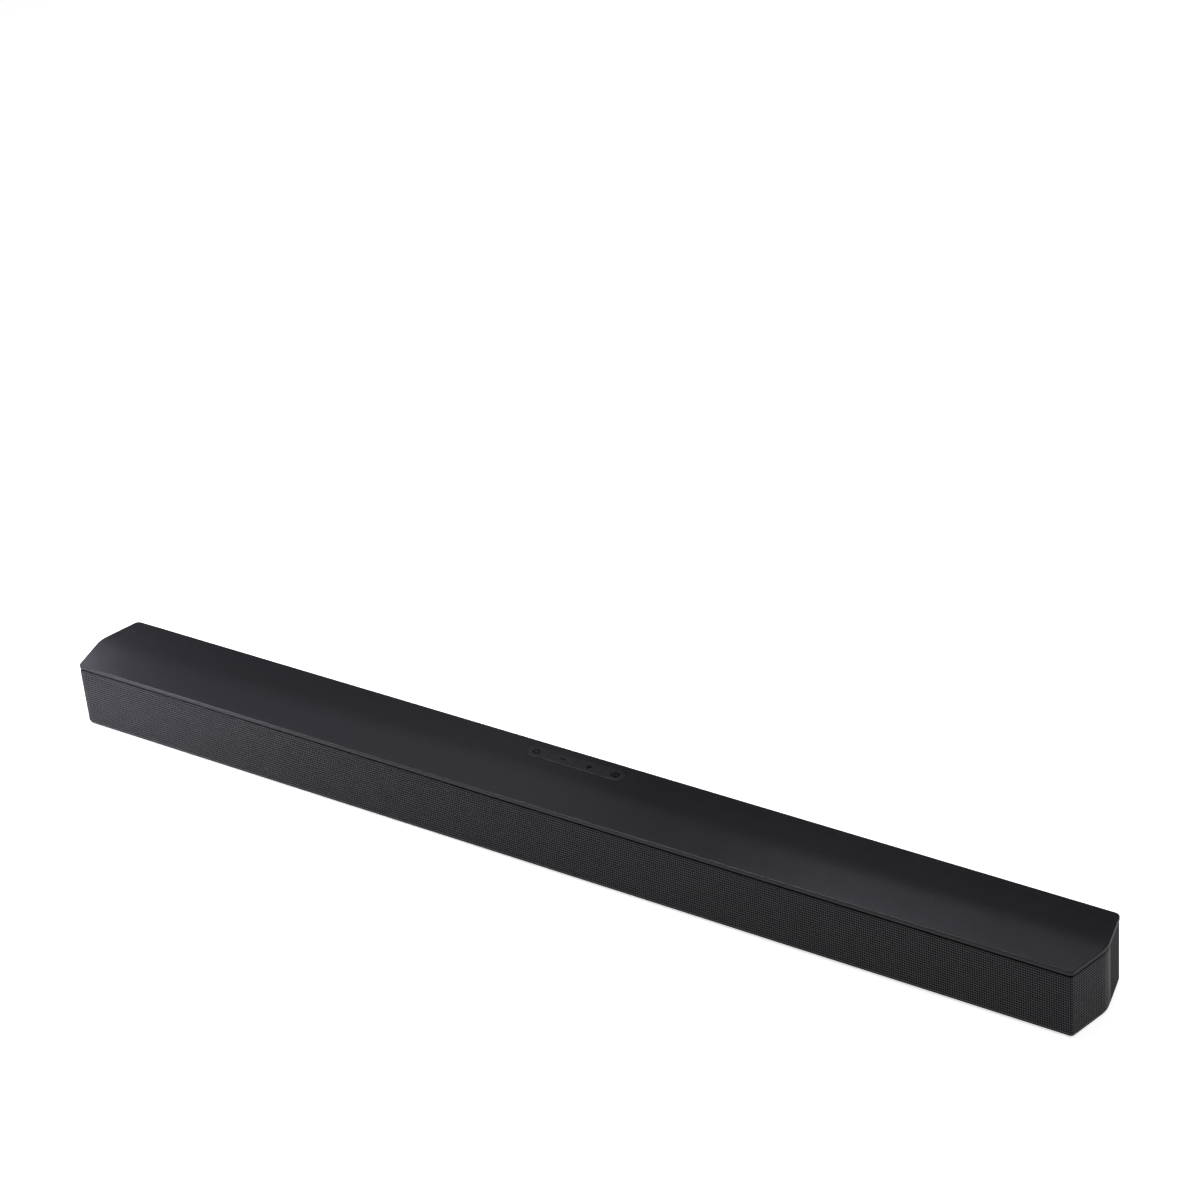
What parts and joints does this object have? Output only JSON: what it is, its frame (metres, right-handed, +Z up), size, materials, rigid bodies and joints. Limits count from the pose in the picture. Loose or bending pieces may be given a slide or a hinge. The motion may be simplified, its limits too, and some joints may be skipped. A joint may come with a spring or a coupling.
{
  "type": "soundbar",
  "caption": "Slim six-sided soundbar: wrap-round steel grille, top cover with pill-shaped keys, rear jack pocket, sprung driver cones inside.",
  "frame": {"origin": "middle of the bar on the plane that its feet stand on", "axes": "+X along the bar to the right seen from the front, -Y out of the grille, +Z up"},
  "size_m": [0.98, 0.082, 0.0627],
  "materials": {
    "cover_plastic": "fine satin moulding, near-black",
    "housing_plastic": "fine spark-eroded texture, near-black",
    "grille_steel": "satin powder coat, near-black",
    "inner_plastic": "matt black moulding",
    "jack_plastic": "matt black moulding",
    "black_cloth": "thin black weave",
    "soft_rubber": "matt rubber",
    "key_plastic": "satin moulding, near-black",
    "circuit_board": "green solder mask",
    "screw_steel": "black zinc plate",
    "insert_brass": "turned brass",
    "socket_steel": "nickel plate",
    "socket_plastic": "black moulding",
    "bare_aluminium": "extruded, bare",
    "chip_resin": "moulded resin",
    "ferrite": "sintered dark grey",
    "light_lens": "clear moulded lens",
    "cable_plastic": "flat light-grey cable",
    "pressed_steel": "black painted steel",
    "cone_paper": "black pulp",
    "dome_silk": "coated silk"
  },
  "bodies": {
    "cabinet": {"acoustic_cloth": "black_cloth", "amplifier_chips": "chip_resin", "board_screws": "screw_steel", "bracket_inserts": "insert_brass", "capacitors": "bare_aluminium", "driver_screws": "screw_steel", "foot_back_left": "soft_rubber", "foot_back_right": "soft_rubber", "foot_front_left": "soft_rubber", "foot_front_right": "soft_rubber", "front_baffle": "inner_plastic", "front_board": "circuit_board", "front_grille": "grille_steel", "hdmi_input_socket": "socket_steel", "hdmi_output_socket": "socket_steel", "heat_sink": "bare_aluminium", "housing_screws": "screw_steel", "infrared_receiver": "socket_plastic", "jack_board": "circuit_board", "jack_plate": "jack_plastic", "jack_plate_screws": "screw_steel", "key_board": "circuit_board", "key_switch_minus": "inner_plastic", "key_switch_plus": "inner_plastic", "key_switch_power": "inner_plastic", "key_switch_source": "inner_plastic", "lower_housing": "housing_plastic", "main_board": "circuit_board", "optical_socket": "socket_plastic", "output_coils": "ferrite", "power_inlet": "socket_plastic", "processor_chip": "chip_resin", "ribbon_cable": "cable_plastic", "status_lights": "light_lens", "top_cover": "cover_plastic", "tweeter_body_left": "inner_plastic", "tweeter_body_right": "inner_plastic", "usb_socket": "socket_steel", "wireless_module": "circuit_board", "woofer_frame_centre": "pressed_steel", "woofer_frame_left": "pressed_steel", "woofer_frame_right": "pressed_steel", "woofer_motor_centre": "ferrite", "woofer_motor_left": "ferrite", "woofer_motor_right": "ferrite", "woofer_spider_centre": "black_cloth", "woofer_spider_left": "black_cloth", "woofer_spider_right": "black_cloth", "woofer_surround_centre": "soft_rubber", "woofer_surround_left": "soft_rubber", "woofer_surround_right": "soft_rubber"},
    "power_key": {"key_power": "key_plastic"},
    "minus_key": {"key_minus": "key_plastic"},
    "plus_key": {"key_plus": "key_plastic"},
    "source_key": {"key_source": "key_plastic"},
    "woofer_cone_body_left": {"woofer_cone_left": "cone_paper"},
    "woofer_cone_body_centre": {"woofer_cone_centre": "cone_paper"},
    "woofer_cone_body_right": {"woofer_cone_right": "cone_paper"},
    "tweeter_dome_body_left": {"tweeter_dome_left": "dome_silk"},
    "tweeter_dome_body_right": {"tweeter_dome_right": "dome_silk"}
  },
  "joints": [
    {"name": "power_key_press", "type": "slide", "parent": "cabinet", "child": "power_key", "axis": [0, 0, -1], "range_m": [0, 0.0005], "stiffness_N_per_m": 2000, "springref_m": -0.0003},
    {"name": "minus_key_press", "type": "slide", "parent": "cabinet", "child": "minus_key", "axis": [0, 0, -1], "range_m": [0, 0.0005], "stiffness_N_per_m": 2000, "springref_m": -0.0003},
    {"name": "plus_key_press", "type": "slide", "parent": "cabinet", "child": "plus_key", "axis": [0, 0, -1], "range_m": [0, 0.0005], "stiffness_N_per_m": 2000, "springref_m": -0.0003},
    {"name": "source_key_press", "type": "slide", "parent": "cabinet", "child": "source_key", "axis": [0, 0, -1], "range_m": [0, 0.0005], "stiffness_N_per_m": 2000, "springref_m": -0.0003},
    {"name": "woofer_left_stroke", "type": "slide", "parent": "cabinet", "child": "woofer_cone_body_left", "axis": [0, -1, 0], "range_m": [-0.0025, 0.0025], "stiffness_N_per_m": 1000, "deforming": ["woofer_surround_left", "woofer_spider_left"]},
    {"name": "woofer_centre_stroke", "type": "slide", "parent": "cabinet", "child": "woofer_cone_body_centre", "axis": [0, -1, 0], "range_m": [-0.0025, 0.0025], "stiffness_N_per_m": 1000, "deforming": ["woofer_surround_centre", "woofer_spider_centre"]},
    {"name": "woofer_right_stroke", "type": "slide", "parent": "cabinet", "child": "woofer_cone_body_right", "axis": [0, -1, 0], "range_m": [-0.0025, 0.0025], "stiffness_N_per_m": 1000, "deforming": ["woofer_surround_right", "woofer_spider_right"]},
    {"name": "tweeter_left_stroke", "type": "slide", "parent": "cabinet", "child": "tweeter_dome_body_left", "axis": [0, -1, 0], "range_m": [-0.0003, 0.0003], "stiffness_N_per_m": 2000},
    {"name": "tweeter_right_stroke", "type": "slide", "parent": "cabinet", "child": "tweeter_dome_body_right", "axis": [0, -1, 0], "range_m": [-0.0003, 0.0003], "stiffness_N_per_m": 2000}
  ]
}
